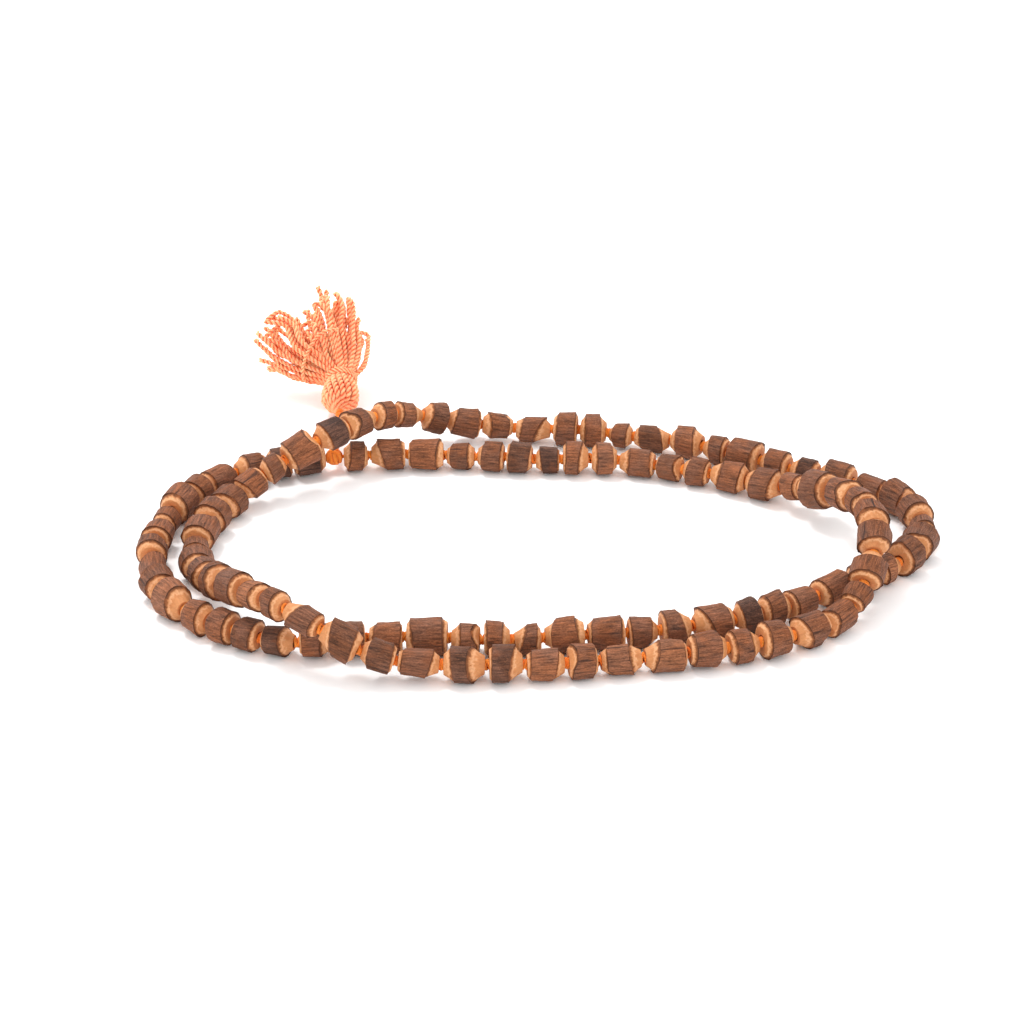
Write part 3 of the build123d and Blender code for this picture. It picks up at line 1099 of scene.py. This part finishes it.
start_fresh()
bpy.ops.mesh.primitive_uv_sphere_add(segments=24, ring_count=14, radius=1.0)
head_core = bpy.context.object
egg_radius = head_radius * EGG_WIDE
egg = Matrix.Diagonal((egg_radius, egg_radius, head_length * EGG_LONG, 1.0))
head_core.data.transform(laid_at(head_middle, head_axis) @ egg)
bpy.ops.object.shade_smooth()
head_core.data.materials.append(yarn_finish)
neck_loop = wrap_rings("neck_loop", FOLD_RADIUS, FOLD_YARN, FOLD_WRAPS, SMALL_RING)
neck_loop.data.materials.append(yarn_finish)
neck_loop.data.transform(laid_at(on_head(0.5 * MM, 0.0, 0.0), head_axis))
head_look = join_as("tassel_head_look", [head_look, head_core, neck_loop])
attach(head_look, "tassel")
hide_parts("tassel_head")
print("head with", HEAD_YARNS, "yarns,", len(head_look.data.polygons), "faces")

# %% [markdown]
# ## Binding
# Three turns of yarn pull the hank together below the head. Each turn of a real binding climbs by
# its own thickness, so the line is a helix with a little wander in it, worked out by a loop.

# %% Binding
binding_middle, _, binding_width, binding_radius, _ = lies_in("tassel_binding")[0]
binding_start = (binding_middle - head_base).dot(head_axis) - binding_width / 2
BINDING_TURNS = 3
BINDING_YARN = 0.95 * MM
BINDING_PITCH = 2.2 * MM
BINDING_STEPS = BINDING_TURNS * 20
START_ANGLE = -2.2
winding = []
for step in range(BINDING_STEPS + 1):
    share = step / BINDING_STEPS
    climb = 0.12 * MM * math.sin(5 * share * math.pi)
    along = binding_start + binding_width * (0.16 + 0.68 * share) + climb
    out = binding_radius - BINDING_YARN * 0.45 + 0.08 * MM * math.sin(11 * share * math.pi)
    winding.append(on_head(along, out, START_ANGLE + 2 * math.pi * BINDING_TURNS * share))
binding_yarn = (even_points(winding, 0.3 * MM), BINDING_YARN, BINDING_PITCH, 0.0)
binding = yarn_piece("tassel_binding_look", [binding_yarn], yarn_finish)
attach(binding, "tassel")
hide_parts("tassel_binding")
print("binding with", BINDING_TURNS, "turns")

# %% [markdown]
# ## Skirt
# Below the binding the yarns spring apart into a fan. Some ends are cut and some are still loops,
# because the hank was wound round a card and only partly trimmed. Each yarn starts inside the
# binding and runs to its own place on the fan's far edge, with a bend of its own, and one has
# strayed round the side. Simulating sixty springy yarns would be slow and hard to steer, and the
# fan's shape is what matters here.

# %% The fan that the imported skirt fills
work, skirt_solids = solids_of("tassel_skirt")
_, skirt_axis, _, _, _ = lie_of(skirt_solids[0])
if skirt_axis.dot(head_axis) < 0:
    skirt_axis = -skirt_axis
skirt_right = skirt_axis.cross(Vector((0.0, 0.0, 1.0))).normalized()
skirt_up = skirt_right.cross(skirt_axis)
reach = max(vertex.co.dot(skirt_axis) for vertex in work.verts)
far_edge = [v.co.copy() for v in work.verts if v.co.dot(skirt_axis) > reach - 0.01 * MM]
work.free()
far_right = [corner.dot(skirt_right) for corner in far_edge]
far_up = [corner.dot(skirt_up) for corner in far_edge]
half_width = (max(far_right) - min(far_right)) / 2
half_depth = (max(far_up) - min(far_up)) / 2
far_middle = (
    skirt_axis * reach
    + skirt_right * (max(far_right) + min(far_right)) / 2
    + skirt_up * (max(far_up) + min(far_up)) / 2
)
skirt_start = binding_start + binding_width
far_size = (round(half_width * 2 / MM, 1), round(half_depth * 2 / MM, 1))
print("fan", far_size, "mm at its far edge")

# %% Places in the fan
SKIRT_NEAR = 3.3 * MM
LEFT_SAG = 9.0 * MM
RIGHT_SAG = 5.0 * MM
LEFT_BELLY = 3.4 * MM
NOTCH_DEPTH = 0.30
NOTCH_PLACE = -0.30
NOTCH_WIDTH = 0.18


def in_skirt(share, right, up):
    """A place in the skirt: a share of its length, and of its half width and depth there."""
    near = on_head(skirt_start + 0.3 * MM, 0.0, 0.0)
    middle = near.lerp(far_middle, share)
    wide = SKIRT_NEAR + (half_width - SKIRT_NEAR) * max(share, 0.0) ** 0.75
    deep = SKIRT_NEAR + (half_depth - SKIRT_NEAR) * max(share, 0.0) ** 0.85
    left = max(0.0, -right)
    sag = LEFT_SAG * left**1.5 + RIGHT_SAG * max(0.0, right) ** 2
    belly = LEFT_BELLY * left * (1.0 - 0.5 * up) * 0.67
    belly *= math.sin(math.pi * min(1.0, max(0.0, share)))
    middle = middle - Vector((0.0, 0.0, sag * share + belly))
    wide = wide * (1.0 + 0.12 * left + 0.30 * max(0.0, right) ** 3 * (1.0 - share))
    axis_right = head_right.lerp(skirt_right, min(1.0, share * 2)).normalized()
    axis_up = head_up.lerp(skirt_up, min(1.0, share * 2)).normalized()
    return middle + axis_right * right * wide + axis_up * up * deep


def yarn_reach(right):
    """How far a yarn runs: the fan is shorter left of its middle, where it parts."""
    notch = NOTCH_DEPTH * math.exp(-(((right - NOTCH_PLACE) / NOTCH_WIDTH) ** 2))
    return 0.96 + 0.10 * min(0.0, right) ** 2 - notch - 0.60 * max(0.0, right) ** 3


def leg(right, up, length):
    """The places along one yarn, from inside the binding to its end."""
    out = math.hypot(right, up)
    angle = math.atan2(up, right)
    inside = [
        on_head(binding_start + 0.3 * MM, 2.7 * MM * out, angle),
        on_head(skirt_start - 0.1 * MM, 3.0 * MM * out, angle),
    ]
    sway = [draws.uniform(-0.12, 0.12) for _ in range(4)]
    return inside + [
        in_skirt(0.30 * length, right * 0.96 + sway[0], up * 0.98),
        in_skirt(0.62 * length, right + sway[1], up + sway[2]),
        in_skirt(0.84 * length, right * 1.02 + sway[3], up * 1.02),
        in_skirt(length, right * 1.04 + sway[1], up),
    ]


print("the left side sags", round(LEFT_SAG / MM, 1), "mm")

# %% Cut yarns
CUT_YARNS = 40
LOW_YARNS = 10
SKIRT_YARN = 1.3 * MM
SKIRT_PITCH = 2.5 * MM
OPEN_TIP = 0.4
GOLDEN_ANGLE = 2.39996


def spread(place, start, count, wide=1.0, turn=0.0):
    """One of many spots, spread evenly over a disc of radius wide as seeds are in a sunflower."""
    out = math.sqrt((place + start) / count) * wide
    angle = place * GOLDEN_ANGLE + turn
    return out * math.cos(angle), out * math.sin(angle)


skirt_yarns = []
for place in range(CUT_YARNS):
    right, up = spread(place, 0.5, CUT_YARNS)
    length = yarn_reach(right) * draws.uniform(0.84, 1.10)
    skirt_yarns.append((yarn_line(leg(right, up, length)), SKIRT_YARN, SKIRT_PITCH, OPEN_TIP))
for _ in range(LOW_YARNS):
    right = draws.uniform(-1.0, -0.55)
    up = draws.uniform(-1.0, -0.2)
    length = draws.uniform(0.62, 0.95)
    skirt_yarns.append((yarn_line(leg(right, up, length)), SKIRT_YARN, SKIRT_PITCH, OPEN_TIP))
print(len(skirt_yarns), "cut yarns")

# %% Loops
LOOPS = 12
LOOP_SPREAD = 0.95
LOOP_TURN = 1.1
LOOP_GAP = 0.07

for place in range(LOOPS):
    right, up = spread(place, 0.7, LOOPS, LOOP_SPREAD, LOOP_TURN)
    length = yarn_reach(right) * draws.uniform(0.80, 1.04)
    there = leg(right - LOOP_GAP, up, length)
    back = leg(right + LOOP_GAP, up - 0.12, length)
    tip = (there[-1] - there[-2]).normalized() * 1.0 * MM
    places = there + [there[-1] + tip, back[-1] + tip] + back[::-1]
    skirt_yarns.append((yarn_line(places), SKIRT_YARN, SKIRT_PITCH, 0.0))
print(LOOPS, "loops")

# %% One stray yarn, and the skirt as one piece
# Each entry is a share of the skirt's length, and of its half width and depth there.
STRAY = [
    (0.02, -1.0, -0.4), (0.12, -1.25, -0.7), (0.22, -1.1, 0.2), (0.32, -0.85, 0.8),
    (0.42, -0.60, 1.1), (0.48, -0.42, 1.2), (0.46, -0.1, 1.3), (0.42, 0.15, 1.25),
]
stray = [on_head(skirt_start - 0.6 * MM, 3.2 * MM, math.radians(200))]
stray += [in_skirt(*place) for place in STRAY]
skirt_yarns.append((yarn_line(stray), 0.95 * MM, 2.4 * MM, 0.3))

skirt = yarn_piece("tassel_skirt_look", skirt_yarns, yarn_finish)
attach(skirt, "tassel")
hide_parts("tassel_skirt")
print("skirt with", len(skirt_yarns), "yarns,", len(skirt.data.polygons), "faces")
